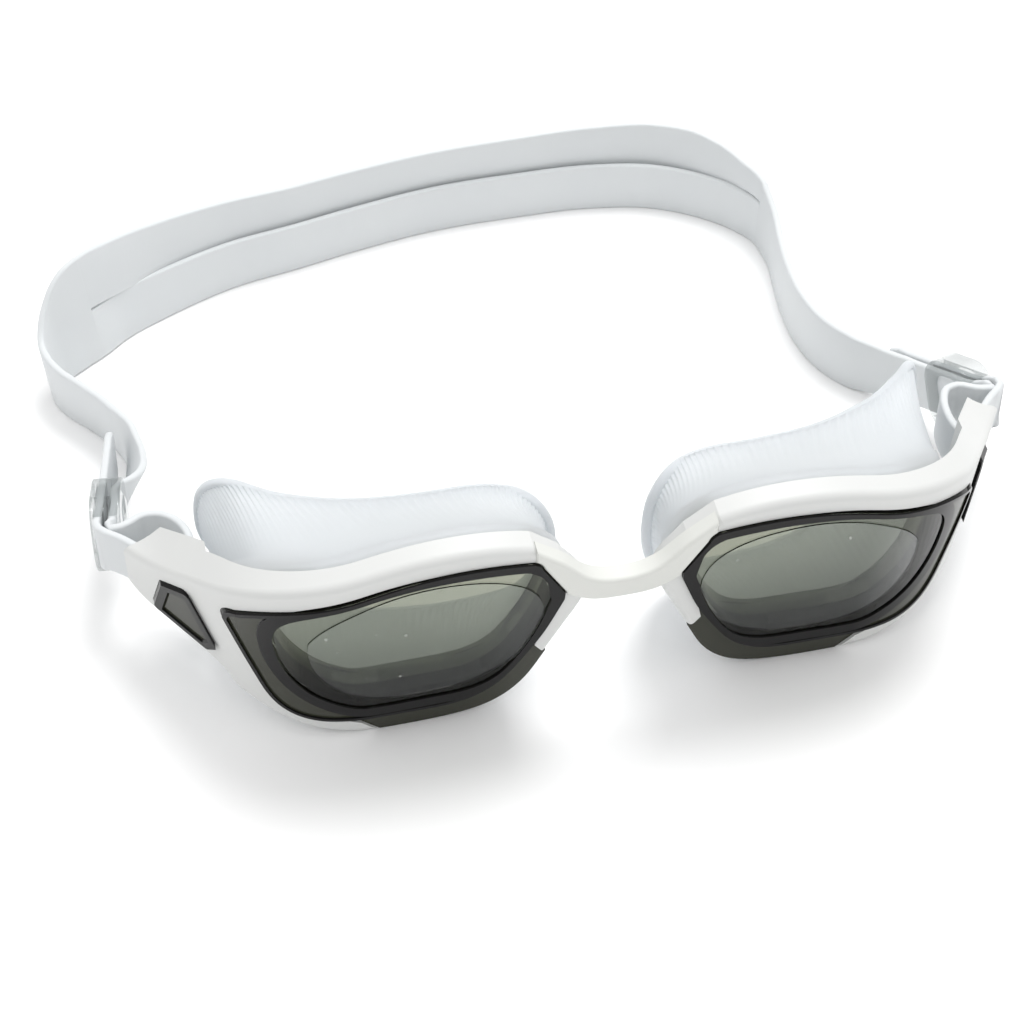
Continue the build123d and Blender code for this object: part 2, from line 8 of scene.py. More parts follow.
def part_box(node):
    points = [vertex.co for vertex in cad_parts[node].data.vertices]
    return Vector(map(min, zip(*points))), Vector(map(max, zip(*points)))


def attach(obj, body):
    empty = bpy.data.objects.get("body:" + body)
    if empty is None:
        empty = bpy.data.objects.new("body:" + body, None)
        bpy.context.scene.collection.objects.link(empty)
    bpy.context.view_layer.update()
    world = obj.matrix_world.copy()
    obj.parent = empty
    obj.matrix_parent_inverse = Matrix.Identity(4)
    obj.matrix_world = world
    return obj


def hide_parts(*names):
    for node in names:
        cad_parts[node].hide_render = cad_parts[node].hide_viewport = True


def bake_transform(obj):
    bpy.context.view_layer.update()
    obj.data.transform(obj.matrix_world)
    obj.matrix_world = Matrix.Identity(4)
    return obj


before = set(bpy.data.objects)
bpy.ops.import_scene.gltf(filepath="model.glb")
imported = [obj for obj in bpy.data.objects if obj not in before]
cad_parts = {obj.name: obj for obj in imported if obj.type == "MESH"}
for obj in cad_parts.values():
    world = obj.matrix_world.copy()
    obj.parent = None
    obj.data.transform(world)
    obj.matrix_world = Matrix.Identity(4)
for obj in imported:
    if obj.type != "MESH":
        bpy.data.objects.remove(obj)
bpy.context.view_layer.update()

# Sizes are in millimetres. The goggles are drawn about a point on the table, midway between the wing
# tips: x goes across, y back and z up.
MM = 0.001
MIDDLE = Vector((-2.6, 39.0, 0.0))    # the row frame's own middle, in the drawing
LEAN = radians(7.0)                   # the fronts lean forward at the top
TIP_HEIGHT = 26.5                     # top of the wing tips above the table
WING_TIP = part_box("frame_right")[1].x / MM + MIDDLE.x

# Each front is flat over the eye, then bends back round the temple into its wing.
FRONT_FLAT, WRAP_RADIUS, WRAP_ANGLE = 44.4, 30.0, radians(55.5)
WRAP_MIDDLE = -2.6                    # middle of the bend, back from the wing tips


def place(x, y, z):
    """A point of the drawing, as a point of the row frame."""
    return (Vector((x, y, z)) - MIDDLE) * MM


def on_front(x, back, up):
    """A point given along the leaning front: across, back from the wing tips, up from them."""
    return place(x, back * cos(LEAN) - up * sin(LEAN), TIP_HEIGHT + back * sin(LEAN) + up * cos(LEAN))


# ---------------------------------------------------------------- materials
def colour(text):
    """An sRGB hex colour as linear RGBA."""
    parts = [int(text[i:i + 2], 16) / 255 for i in (1, 3, 5)]
    return [c / 12.92 if c <= 0.04045 else ((c + 0.055) / 1.055) ** 2.4 for c in parts] + [1.0]


def node(tree, kind, plugs=None, **settings):
    """Adds a node. Plugs maps an input's name or number to a socket or to a plain value."""
    made = tree.nodes.new(kind)
    for name, value in settings.items():
        setattr(made, name, value)
    for key, value in (plugs or {}).items():
        if isinstance(value, bpy.types.NodeSocket):
            tree.links.new(value, made.inputs[key])
        else:
            made.inputs[key].default_value = value
    return made


def new_material(name):
    """An empty material, and its node tree."""
    made = bpy.data.materials.new(name)
    made.use_nodes = True
    made.node_tree.nodes.clear()
    return made, made.node_tree


def surface(tree, socket):
    """Ends a material with this shader."""
    node(tree, "ShaderNodeOutputMaterial", {"Surface": socket})


def grain(tree, size):
    """Noise with features of about this size in millimetres."""
    spot = node(tree, "ShaderNodeTexCoord").outputs["Object"]
    return node(tree, "ShaderNodeTexNoise", {
        "Vector": spot, "Scale": 1 / (size * MM), "Detail": 3.0})


def moulded(name, base, shade, rough, size, depth, shine=0.5, glow=0.0):
    """Moulded plastic or rubber: two close tones, an uneven sheen and a fine skin."""
    made, tree = new_material(name)
    skin, cloud = grain(tree, size), grain(tree, 14.0)
    tones = node(tree, "ShaderNodeMix", {
        0: cloud.outputs["Fac"], 6: colour(base), 7: colour(shade)}, data_type="RGBA")
    sheen = node(tree, "ShaderNodeMapRange", {
        "Value": skin.outputs["Fac"], "To Min": rough - 0.05, "To Max": rough + 0.05})
    relief = node(tree, "ShaderNodeBump", {
        "Height": skin.outputs["Fac"], "Strength": 0.3, "Distance": depth * MM})
    shader = node(tree, "ShaderNodeBsdfPrincipled", {
        "Base Color": tones.outputs[2], "Roughness": sheen.outputs["Result"],
        "Normal": relief.outputs["Normal"], "Specular IOR Level": shine,
        "Subsurface Weight": glow, "Subsurface Radius": (0.003, 0.003, 0.003)})
    surface(tree, shader.outputs["BSDF"])
    return made


def facing_walls(tree, limit):
    """1 on faces that stand square to the front, such as edges and cup walls, and 0 elsewhere."""
    normal = node(tree, "ShaderNodeNewGeometry").outputs["True Normal"]
    along = node(tree, "ShaderNodeVectorMath", {
        0: normal, 1: (0, -cos(LEAN), -sin(LEAN))}, operation="DOT_PRODUCT")
    size = node(tree, "ShaderNodeMath", {0: along.outputs["Value"]}, operation="ABSOLUTE")
    return node(tree, "ShaderNodeMath", {
        0: size.outputs[0], 1: limit}, operation="LESS_THAN").outputs[0]


def mixed(tree, share, first, second):
    """The first shader, with this share of the second."""
    return node(tree, "ShaderNodeMixShader", {0: share, 1: first, 2: second}).outputs["Shader"]


def glint(tree, straight_on, **plugs):
    """The share of light that a smooth surface reflects: little straight on, and all edge-on."""
    facing = node(tree, "ShaderNodeLayerWeight", {"Blend": 0.5, **plugs}).outputs["Facing"]
    steep = node(tree, "ShaderNodeMath", {0: facing, 1: 5.0}, operation="POWER")
    return node(tree, "ShaderNodeMath", {
        0: steep.outputs[0], 1: 1 - straight_on, 2: straight_on}, operation="MULTIPLY_ADD").outputs[0]


def see_through(tree, tint, rough, straight_on=0.02):
    """Clear plastic: light passes straight on, tinted, under a surface reflection."""
    level = node(tree, "ShaderNodeNewGeometry").outputs["True Normal"]
    through = node(tree, "ShaderNodeBsdfTransparent", {"Color": colour(tint)})
    gloss = node(tree, "ShaderNodeBsdfGlossy", {
        "Roughness": rough, "Color": (1, 1, 1, 1), "Normal": level})
    share = glint(tree, straight_on, Normal=level)
    return mixed(tree, share, through.outputs["BSDF"], gloss.outputs["BSDF"])


# The cup's window, across and up along the leaning front, anticlockwise from the nose below.
WINDOW = [
    (21.0, -11.2), (30.0, -14.6), (44.0, -14.6), (55.0, -9.8), (60.5, -1.0), (60.6, 6.5), (57.6, 12.4),
    (40.0, 19.2), (17.0, 19.3), (12.4, 12.5),
]
WINDOW_EDGE = 1.0                     # the opaque border of painted shade starts this far outside the window
CUP_SHADE_DEPTH = 4.7                        # the cup's wall is painted near-black as shade down to this depth, and clear behind it


def along_front(tree):
    """Where a point lies on the leaning front, in millimetres: across from the middle, back and up."""
    spot = node(tree, "ShaderNodeTexCoord").outputs["Object"]
    drawn = node(tree, "ShaderNodeVectorMath", {
        0: spot, 1: (1 / MM,) * 3, 2: (MIDDLE.x, MIDDLE.y, -TIP_HEIGHT)},
        operation="MULTIPLY_ADD").outputs[0]
    apart = node(tree, "ShaderNodeSeparateXYZ", {"Vector": drawn})
    across = node(tree, "ShaderNodeMath", {0: apart.outputs["X"]}, operation="ABSOLUTE")
    back, up = (
        node(tree, "ShaderNodeVectorMath", {0: drawn, 1: way}, operation="DOT_PRODUCT")
        for way in ((0, cos(LEAN), sin(LEAN)), (0, -sin(LEAN), cos(LEAN)))
    )
    return across.outputs[0], back.outputs["Value"], up.outputs["Value"]


def outside_window(tree, margin):
    """1 where the front lies more than a margin outside the window's outline, and 0 over the window."""
    across, _, up = along_front(tree)
    furthest = -1000.0                # well inside, before the first side is measured
    for (x, v), (next_x, next_v) in zip(WINDOW, WINDOW[1:] + WINDOW[:1]):
        out = Vector((next_v - v, x - next_x)).normalized()
        beside = node(tree, "ShaderNodeMath", {
            0: across, 1: out.x, 2: -out.x * x - out.y * v}, operation="MULTIPLY_ADD")
        beyond = node(tree, "ShaderNodeMath", {
            0: up, 1: out.y, 2: beside.outputs[0]}, operation="MULTIPLY_ADD")
        furthest = node(tree, "ShaderNodeMath", {
            0: beyond.outputs[0], 1: furthest}, operation="MAXIMUM").outputs[0]
    return node(tree, "ShaderNodeMath", {
        0: furthest, 1: margin}, operation="GREATER_THAN").outputs[0]


def nearer_than(tree, depth):
    """1 where a point lies less than this deep behind the wrapped front, and 0 further back."""
    across, back, _ = along_front(tree)
    past_flat = node(tree, "ShaderNodeMath", {0: across, 1: FRONT_FLAT}, operation="SUBTRACT")
    bent = node(tree, "ShaderNodeMath", {0: past_flat.outputs[0], 1: 0.0}, operation="MAXIMUM")
    from_middle = node(tree, "ShaderNodeMath", {0: back, 1: WRAP_MIDDLE}, operation="SUBTRACT")
    pair = node(tree, "ShaderNodeCombineXYZ", {"X": bent.outputs[0], "Y": from_middle.outputs[0]})
    reach = node(tree, "ShaderNodeVectorMath", {0: pair.outputs[0]}, operation="LENGTH")
    return node(tree, "ShaderNodeMath", {
        0: reach.outputs["Value"], 1: WRAP_RADIUS - depth}, operation="GREATER_THAN").outputs[0]


def tinted_pane(name, tint, border_shade, wall):
    """Tinted polycarbonate: olive to look through; painted shade makes it deeper olive round the window
    and near-black along its walls.
    """
    made, tree = new_material(name)
    clear = see_through(tree, tint, 0.03)
    scuff = grain(tree, 1.2)
    sheen = node(tree, "ShaderNodeMapRange", {
        "Value": scuff.outputs["Fac"], "To Min": 0.12, "To Max": 0.2})
    cloud = grain(tree, 9.0)
    tones = node(tree, "ShaderNodeMix", {
        0: cloud.outputs["Fac"], 6: colour(border_shade[0]), 7: colour(border_shade[1])}, data_type="RGBA")
    # Painted shade: an opaque deeper olive, the tint's own hue darkened as if the frame behind lay in
    # shadow.
    deep = node(tree, "ShaderNodeBsdfPrincipled", {
        "Base Color": tones.outputs[2], "Roughness": sheen.outputs["Result"],
        "Specular IOR Level": 0.25})
    # Painted shade: near-black on the cup walls and edges near the front, as the shade inside the cup.
    dark = node(tree, "ShaderNodeBsdfPrincipled", {
        "Base Color": colour(wall), "Roughness": sheen.outputs["Result"],
        "Specular IOR Level": 0.15})
    pane = mixed(tree, outside_window(tree, WINDOW_EDGE), clear, deep.outputs["BSDF"])
    painted_wall_shade = mixed(tree, nearer_than(tree, CUP_SHADE_DEPTH), clear, dark.outputs["BSDF"])
    surface(tree, mixed(tree, facing_walls(tree, 0.2), pane, painted_wall_shade))
    return made


SPECKS_A_METRE = 170.0                # a cell of about 6 mm to each speck
SPECK_SIZE = 0.055                    # radius of a speck, as a share of its cell


def thin_film(name):
    """Peel-off film: all but invisible, with painted shade along its cut edge and a few light specks
    under it.
    """
    made, tree = new_material(name)
    clear = see_through(tree, "#FCFDFD", 0.1, 0.01)
    spot = node(tree, "ShaderNodeTexCoord").outputs["Object"]
    cells = node(tree, "ShaderNodeTexVoronoi", {
        "Vector": spot, "Scale": SPECKS_A_METRE, "Randomness": 1.0})
    speck = node(tree, "ShaderNodeMath", {
        0: cells.outputs["Distance"], 1: SPECK_SIZE}, operation="LESS_THAN")
    milk = node(tree, "ShaderNodeBsdfDiffuse", {"Color": colour("#D9DCD6")})
    share = node(tree, "ShaderNodeMath", {0: speck.outputs[0], 1: 0.35}, operation="MULTIPLY")
    specked = mixed(tree, share.outputs[0], clear, milk.outputs["BSDF"])
    # Painted shade: the clear film's cut edge is coloured near-black.
    cut = node(tree, "ShaderNodeBsdfDiffuse", {"Color": colour("#1E201B")})
    surface(tree, mixed(tree, facing_walls(tree, 0.5), specked, cut.outputs["BSDF"]))
    return made


def clear_slide(name):
    """Clear polycarbonate, moulded thick: greyer where it is seen edge-on, with sharp glints."""
    made, tree = new_material(name)
    flat = node(tree, "ShaderNodeBsdfTransparent", {"Color": colour("#F5F6F6")})
    deep = node(tree, "ShaderNodeBsdfTransparent", {"Color": colour("#D6D8D8")})
    turned = node(tree, "ShaderNodeLayerWeight", {"Blend": 0.5})
    body = mixed(tree, turned.outputs["Facing"], flat.outputs["BSDF"], deep.outputs["BSDF"])
    waves = grain(tree, 3.0)
    relief = node(tree, "ShaderNodeBump", {
        "Height": waves.outputs["Fac"], "Strength": 0.3, "Distance": 0.1 * MM})
    gloss = node(tree, "ShaderNodeBsdfGlossy", {
        "Roughness": 0.06, "Color": (1, 1, 1, 1), "Normal": relief.outputs["Normal"]})
    surface(tree, mixed(tree, glint(tree, 0.04), body, gloss.outputs["BSDF"]))
    return made


def soft_silicone(name, base, shade):
    """Frosted silicone, thin enough to let light through to the inside of the cup."""
    made, tree = new_material(name)
    cloud, skin = grain(tree, 9.0), grain(tree, 0.5)
    tones = node(tree, "ShaderNodeMix", {
        0: cloud.outputs["Fac"], 6: colour(base), 7: colour(shade)}, data_type="RGBA")
    relief = node(tree, "ShaderNodeBump", {
        "Height": skin.outputs["Fac"], "Strength": 0.2, "Distance": 0.05 * MM})
    outer = node(tree, "ShaderNodeBsdfPrincipled", {
        "Base Color": tones.outputs[2], "Roughness": 0.45, "Specular IOR Level": 0.3,
        "Normal": relief.outputs["Normal"]})
    inner = node(tree, "ShaderNodeBsdfTranslucent", {"Color": tones.outputs[2]})
    body = mixed(tree, 0.5, outer.outputs["BSDF"], inner.outputs["BSDF"])
    thin = node(tree, "ShaderNodeBsdfTransparent", {"Color": (1, 1, 1, 1)})
    surface(tree, mixed(tree, 0.12, body, thin.outputs["BSDF"]))
    return made


# Satin ABS: an even white that keeps a soft highlight along its rounded edges.
WHITE = moulded("moulded white ABS", "#D5D6D4", "#D1D2D1", 0.42, 0.6, 0.03, shine=0.35)
# Soft thermoplastic of the nose bridge: a little warmer and duller than the frames.
BRIDGE = moulded("soft ivory thermoplastic", "#D9DAD6", "#D5D6D1", 0.5, 0.5, 0.04, shine=0.35)
# Head strap: matt silicone, cool white.
STRAP = moulded("matt white silicone", "#D6D9DA", "#D2D5D7", 0.58, 0.5, 0.04, glow=0.15)
# Border and trims: black with a wet gloss.
BLACK = moulded("glossy black ABS", "#131313", "#181718", 0.16, 0.8, 0.01, shine=0.15)
# Lens cups and side windows: injection-moulded, smooth and tinted through.
# Round each window, side windows included, the tint is an opaque painted shade, and the cup walls are
# painted near-black as shade.
TINT = tinted_pane("olive tinted polycarbonate", "#BFC1B7", ("#34352B", "#2F3027"), "#10110D")
# Die-cut film, which shows by its edge, painted dark as shade, and by what is caught under it.
FILM = thin_film("clear polyethylene film")
# Buckles: clear and thick, so they show by their edges and glints.
CLEAR = clear_slide("clear polycarbonate")
# Face gaskets: liquid silicone, moulded thin and frosted, with a cool glow.
GASKET = soft_silicone("frosted silicone", "#F1F3F5", "#ECEFF1")

LOOK = {
    "frame": WHITE, "lens_rim": BLACK, "lens_film": FILM, "lens": TINT, "gasket": GASKET,
    "side_window_trim": BLACK, "side_window": TINT, "buckle": CLEAR, "nose_bridge": BRIDGE,
}

for name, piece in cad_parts.items():
    kind = name.removesuffix("_left").removesuffix("_right")
    piece.data.materials.clear()
    piece.data.materials.append(LOOK.get(kind, STRAP))


# ---------------------------------------------------------------- shared shapes
def eased(a, b, leaving, arriving, t):
    """The point at t, from 0 to 1, on a curve from a to b that leaves and arrives at these rates."""
    return (a + (b - a) * (3 * t ** 2 - 2 * t ** 3)
            + leaving * (t - 2 * t ** 2 + t ** 3) + arriving * (t ** 3 - t ** 2))


def flow(stations, spacing):
    """A smooth run through the stations, about this far apart. The first three values are x, y, z."""
    marks = [Vector(station) for station in stations]
    spans = [(Vector(b[:3]) - Vector(a[:3])).length for a, b in zip(stations, stations[1:])]
    slopes = [(b - a) / span for a, b, span in zip(marks, marks[1:], spans)]
    bends = [slopes[0]]
    for before, after, near, far in zip(slopes, slopes[1:], spans, spans[1:]):
        bends.append((before * far + after * near) / (near + far))
    bends.append(slopes[-1])
    run = []
    for a, b, leaving, arriving, span in zip(marks, marks[1:], bends, bends[1:], spans):
        steps = max(1, round(span / spacing))
        run += [eased(a, b, leaving * span, arriving * span, step / steps) for step in range(steps)]
    return run + [marks[-1]]


def around(loop):
    """The edges of a closed loop of vertices, in order."""
    pairs = zip(loop, loop[1:] + loop[:1])
    return [next(e for e in a.link_edges if e.other_vert(a) is b) for a, b in pairs]


def skin_over(mesh, rings, closed=False):
    """Extrudes an edge loop from ring to ring, then caps its ends or joins them."""
    loop = bmesh.ops.create_circle(mesh, segments=len(rings[0]), radius=1.0)["verts"]
    first_edges = edges = around(loop)
    for count, ring in enumerate(rings):
        if count:
            fresh = bmesh.ops.extrude_edge_only(mesh, edges=edges)["geom"]
            fresh = {item for item in fresh if isinstance(item, bmesh.types.BMVert)}
            loop = [
                next(v for v in (e.other_vert(vert) for e in vert.link_edges) if v in fresh)
                for vert in loop
            ]
            edges = around(loop)
        for vert, spot in zip(loop, ring):
            vert.co = spot
    if closed:
        bmesh.ops.bridge_loops(mesh, edges=first_edges + edges)
    else:
        bmesh.ops.holes_fill(mesh, edges=first_edges + edges, sides=0)


def finished(name, mesh, material, replaced, smooth=True):
    """A piece made of a bmesh, which takes its material and stands for CAD nodes."""
    bmesh.ops.recalc_face_normals(mesh, faces=mesh.faces)
    for face in mesh.faces:
        face.smooth = smooth
    data = bpy.data.meshes.new(name)
    mesh.to_mesh(data)
    mesh.free()
    piece = bpy.data.objects.new(name, data)
    bpy.context.collection.objects.link(piece)
    piece.data.materials.append(material)
    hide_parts(*replaced)
    return piece


# ---------------------------------------------------------------- head strap
STRAP_THICK = 1.5
BAND_THICK = STRAP_THICK - 0.08       # the rear bands start inside the strap's ends
END_HEIGHT, TABLE_HEIGHT, BAND_HEIGHT = 10.0, 13.5, 11.7
STRAP_STEP = 1.1                      # spacing of the strap's sections
OVERLAP = 5                           # sections that a rear band shares with the strap's end
BAND_TUCK = 0.15                      # how far its top stays below the strap's there
UPPER_LOW = 12.0                      # the upper band's lower edge above the table
LEFT_TOP, RIGHT_TOP = 24.4, 17.4      # the upper band's top where it leaves each side
SLOT_MIDDLE = 20.3                    # height of the slots' middle above the table
STRAND_STEP = 1.35                    # each strand to the middle of its buckle
STRAP_OUT, STRAP_BACK = 2.8, 8.9      # where the strands enter the buckle, from the wing tip
SLOPE_START = 4.0                     # the strap slopes down behind here
HEADING = {"left": radians(7), "right": radians(18)}      # inward
PITCH = {"left": radians(16), "right": radians(23)}       # downward
TAIL = {"left": 36.0, "right": 29.0}                      # from the buckle's front to the free end
LOOP_EDGE = -5.2                      # across from the wing tip, where the loop starts to bulge inward
LOOP_MORE = {"left": 0.0, "right": -0.4}                  # share added to that bulge


def strand(side, shift, along, height=END_HEIGHT):
    """A station of the narrow strap: shift outward from the buckle's middle, along behind its front."""
    turn, sign = HEADING[side], {"left": -1, "right": 1}[side]
    x = WING_TIP + STRAP_OUT + shift * cos(turn) - along * sin(turn)
    y = STRAP_BACK + shift * sin(turn) + along * cos(turn)
    z = SLOT_MIDDLE - max(0.0, y - SLOPE_START) * tan(PITCH[side]) / cos(turn)
    return (sign * x, y, z, height, 0.0)


def on_table(x, y, height=TABLE_HEIGHT, lean=0.0):
    """A station where the strap stands on the table."""
    return (x, y, height / 2, height, lean)


def loop_stations(side):
    """From the free end through the buckle, through the slot from outside, round the bar and back."""
    end = TAIL[side]
    tail = [
        strand(side, STRAND_STEP, along, END_HEIGHT - less) for along, less in (
            (end, 2.2), (end - 0.5, 0.8), (end - 1.4, 0.0), (end - 7, 0.0), (end - 13, 0.0),
            (9, 0.0), (3, 0.0),
        )
    ]
    bends = [                         # out from the wing tip, and back
        (3.3, 6.9), (0.6, 4.6), (-2.7, 1.0), (-5.2, -2.7), (-7.1, -5.5), (-8.0, -5.9), (-9.0, -5.3),
        (-10.7, -3.6), (-11.7, -1.0), (-11.7, 2.6), (-10.4, 6.0), (-7.7, 8.6), (-4.4, 9.2), (-1.2, 7.6),
        (0.7, 7.0),
    ]
    sign = {"left": -1, "right": 1}[side]
    bar = [
        (sign * (WING_TIP + x + LOOP_MORE[side] * min(0.0, x - LOOP_EDGE)), y,
         SLOT_MIDDLE, END_HEIGHT, 0.0)
        for x, y in bends
    ]
    return tail + bar + [strand(side, -STRAND_STEP, along) for along in (2, 8, 14)]


# The left side leans inward behind its buckle, then stands up on the table and bulges out.
left_side = loop_stations("left") + [
    (-80.9, 26.0, 14.0, END_HEIGHT, 20.0), (-79.4, 30.0, 12.8, END_HEIGHT, 30.0),
    (-78.7, 35.0, 11.3, END_HEIGHT, 28.0), (-78.7, 41.0, 9.4, 11.2, 16.0),
    (-79.0, 47.0, 7.5, 12.9, 4.0),
    on_table(-80.2, 51.5, lean=-2), on_table(-82.6, 56.2, lean=-4), on_table(-86.2, 61.4, lean=-5),
    on_table(-90.0, 66.4, 13.6, -4), on_table(-92.0, 70.6, 13.8, -3), on_table(-92.6, 74.4, 14.3, -4),
    on_table(-91.0, 78.4, 17.8, -8), on_table(-88.8, 80.7, 21.0, -10), on_table(-86.0, 83.1, 23.5, -10),
    on_table(-82.6, 85.6, 24.5, -10),
]
right_side = [
    on_table(65.4, 88.5, 17.5), on_table(65.7, 81.5, 14.8), on_table(64.7, 74.0), on_table(63.6, 65.8),
    on_table(63.4, 55.0), on_table(65.3, 46.2), on_table(69.2, 39.6), (73.3, 35.4, 7.2, 12.4, 0.0),
    strand("right", -STRAND_STEP, 22.5, 10.6), strand("right", -STRAND_STEP, 18.5),
] + loop_stations("right")[::-1]

left_run, right_run = flow(left_side, STRAP_STEP), flow(right_side, STRAP_STEP)


def footing(station):
    """The line that gives the strap its direction: its lower edge, apart from a rounded free end."""
    return Vector((station[0], station[1], station[2] - max(station[3], END_HEIGHT) / 2))


def upright(run, count):
    """The directions up and across the strap at one station of a run, with its lean."""
    before, after = run[max(0, count - 1)], run[min(len(run) - 1, count + 1)]
    ahead = (footing(after) - footing(before)).normalized()
    up = (Vector((0, 0, 1)) - ahead * ahead.z).normalized()
    side = ahead.cross(up)
    lean = radians(run[count][4])
    return up * cos(lean) + side * sin(lean), side * cos(lean) - up * sin(lean)


def split_off(run, rows, top, low):
    """The stations in these rows of a run, narrowed to one of the two rear bands."""
    narrow = []
    for count in range(len(run))[rows]:
        x, y, z, height, lean = run[count]
        crest = min(top, z + height / 2 - BAND_TUCK)
        middle = Vector((x, y, z)) + upright(run, count)[0] * ((crest + low) / 2 - z)
        narrow.append((*middle, crest - low, lean))
    return narrow


leaving_left, joining_right = slice(-OVERLAP, None), slice(OVERLAP)
lower_band = split_off(left_run, leaving_left, BAND_HEIGHT, 0.0) + [
    on_table(x, y, BAND_HEIGHT, lean) for x, y, lean in (
        (-76.3, 89.5, -9), (-66.0, 95.0, -6), (-52.0, 100.8, -3), (-36.1, 104.3, -1), (-22.0, 107.6, 0),
        (-5.0, 110.6, 0), (14.0, 111.4, 0), (32.0, 110.8, 0), (45.8, 107.6, 0), (56.2, 101.2, 0),
        (62.0, 95.2, 0),
    )
] + split_off(right_run, joining_right, BAND_HEIGHT, 0.0)

# The upper band hangs free behind the lower one, leaning back at its top near the left end.
upper_band = split_off(left_run, leaving_left, LEFT_TOP, UPPER_LOW) + [
    (-76.6, 91.2, 17.5, 12.4, -10.0), (-66.6, 97.4, 16.0, 12.2, -9.0), (-52.0, 103.2, 14.8, 12.0, -7.0),
    (-36.5, 106.4, 14.4, 11.8, -4.0), (-22.4, 109.5, 14.4, 11.7, -2.0), (-5.2, 112.4, 14.4, 11.7, 0.0),
    (14.0, 113.2, 14.5, 11.8, 0.0), (32.2, 112.8, 14.8, 11.8, -2.0), (46.6, 109.9, 15.0, 11.8, -6.0),
    (56.4, 103.4, 15.2, 11.0, -6.0), (62.4, 96.4, 14.9, 7.2, -2.0),
] + split_off(right_run, joining_right, RIGHT_TOP, UPPER_LOW)


EDGE_ROUND = 0.36                     # radius of the strap's edges, as a share of its thickness
CORNER_STEPS = 3


def section(thick, height):
    """The strap's section: a tall strip whose corners are rounded, across and up."""
    radius = EDGE_ROUND * thick
    corners = ((1, 1, 0), (-1, 1, 90), (-1, -1, 180), (1, -1, 270))
    return [
        (across * (thick / 2 - radius) + radius * cos(radians(start + 90 * step / CORNER_STEPS)),
         up * (height / 2 - radius) + radius * sin(radians(start + 90 * step / CORNER_STEPS)))
        for across, up, start in corners for step in range(CORNER_STEPS + 1)
    ]


def strap_rings(run, thick):
    """The strap's sections along a run, upright across it apart from their lean."""
    rings = []
    for count, station in enumerate(run):
        up, side = upright(run, count)
        centre = Vector(station[:3])
        rings.append([
            (centre + side * across + up * rise - MIDDLE) * MM
            for across, rise in section(thick, station[3])
        ])
    # A ring close behind each end keeps the end's edge crisp under smooth shading.
    for end, inner in ((rings[0], rings[1]), (rings[-1], rings[-2])):
        crisp = [a.lerp(b, 0.04) for a, b in zip(end, inner)]
        rings.insert(1 if end is rings[0] else -1, crisp)
    return rings


strap_mesh = bmesh.new()
skin_over(strap_mesh, strap_rings(left_run, STRAP_THICK))
skin_over(strap_mesh, strap_rings(flow(lower_band, STRAP_STEP), BAND_THICK))
skin_over(strap_mesh, strap_rings(right_run, STRAP_THICK))
strap_nodes = ["strap"] + [
    f"strap_{part}_{side}" for part in ("loop", "tail") for side in ("left", "right")
]
strap = finished("head_strap_whole", strap_mesh, STRAP, strap_nodes)
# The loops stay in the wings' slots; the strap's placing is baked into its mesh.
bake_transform(strap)

band_mesh = bmesh.new()
skin_over(band_mesh, strap_rings(flow(upper_band, STRAP_STEP), BAND_THICK))
band = finished("upper_rear_band", band_mesh, STRAP, ["strap_upper_band"])
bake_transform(band)

# ---------------------------------------------------------------- face gaskets
GASKET_NEAR, GASKET_REAR = 4.65, 7.8  # the ring behind the frame, deep from the front face
GASKET_WALL = 1.3
EYE_MIDDLE = Vector((38.0, 0.0, -1.0))
FOOT_BACK, FOOT_INSET = 0.3, 0.35     # where the wall starts, from the ring's rear edge
HOLE_BACK = 0.6                       # the hole's rear edge, behind the ring's
WALL_END, WALL_STEPS = 0.94, 12       # the wall stops inside the roll, short of the lip's line
HOLLOW, HOLLOW_MORE = 1.1, 0.5        # how far the wall curves in halfway, and more at the nose
ROLL_INSET = 0.75                     # the roll's middle, in from the lip's line
ROLL_ACROSS, ROLL_BACK, ROLL_STEPS = 0.95, 1.2, 12        # its radii and its rings
ARC_STEPS = 40                        # points between two of the places listed below
RIB_STEPS = 6                         # points to one fine rib of the wall
RIB_RISE, RIB_LEAST = 0.24, 0.35      # half a rib's height, and the share of it over the brow
DROOP = {"left": 2.8, "right": 0.0}   # of the lip's corner at the temple, as the soft wall lies

# Three lines round the eye, in step, from the temple over the brow to the nose and back below:
# the cup's hole and the ring's edge, across and up, and the lip, across, back and up.
HOLE = [
    (60.8, -2.0), (59.0, 7.5), (55.5, 13.0), (49.5, 17.2), (38.5, 20.1), (27.5, 20.9), (17.5, 20.1),
    (12.8, 15.6), (11.2, 9.2), (13.3, 1.5), (16.6, -5.5), (20.6, -11.8), (26.0, -14.9), (34.0, -15.7),
    (44.0, -15.4), (51.5, -13.3), (56.6, -9.8), (59.6, -6.0),
]
RING = [
    (67.5, -2.0), (63.4, 8.4), (59.2, 14.2), (50.0, 19.4), (38.0, 22.2), (27.0, 23.0), (17.0, 21.2),
    (11.0, 16.5), (8.8, 9.5), (11.0, 1.0), (15.2, -6.5), (19.4, -14.0), (25.0, -18.8), (34.0, -20.7),
    (45.0, -20.8), (55.0, -18.9), (62.4, -14.6), (66.6, -9.0),
]
LIP = [
    (68.9, 9.3, -1.3), (66.9, 8.6, 7.2), (62.6, 4.4, 9.3), (55.0, -1.2, 10.6), (43.4, -5.4, 11.3),
    (31.1, -7.2, 12.0), (20.5, -8.8, 13.6), (13.4, -11.8, 14.4), (9.1, -14.4, 10.2), (8.1, -15.6, 2.2),
    (9.8, -14.0, -7.3), (13.2, -11.1, -15.8), (19.8, -8.5, -21.2), (30.0, -7.0, -23.6),
    (42.0, -4.9, -23.9), (53.7, -0.5, -22.2), (62.9, 3.9, -16.8), (68.4, 7.8, -9.6),
]


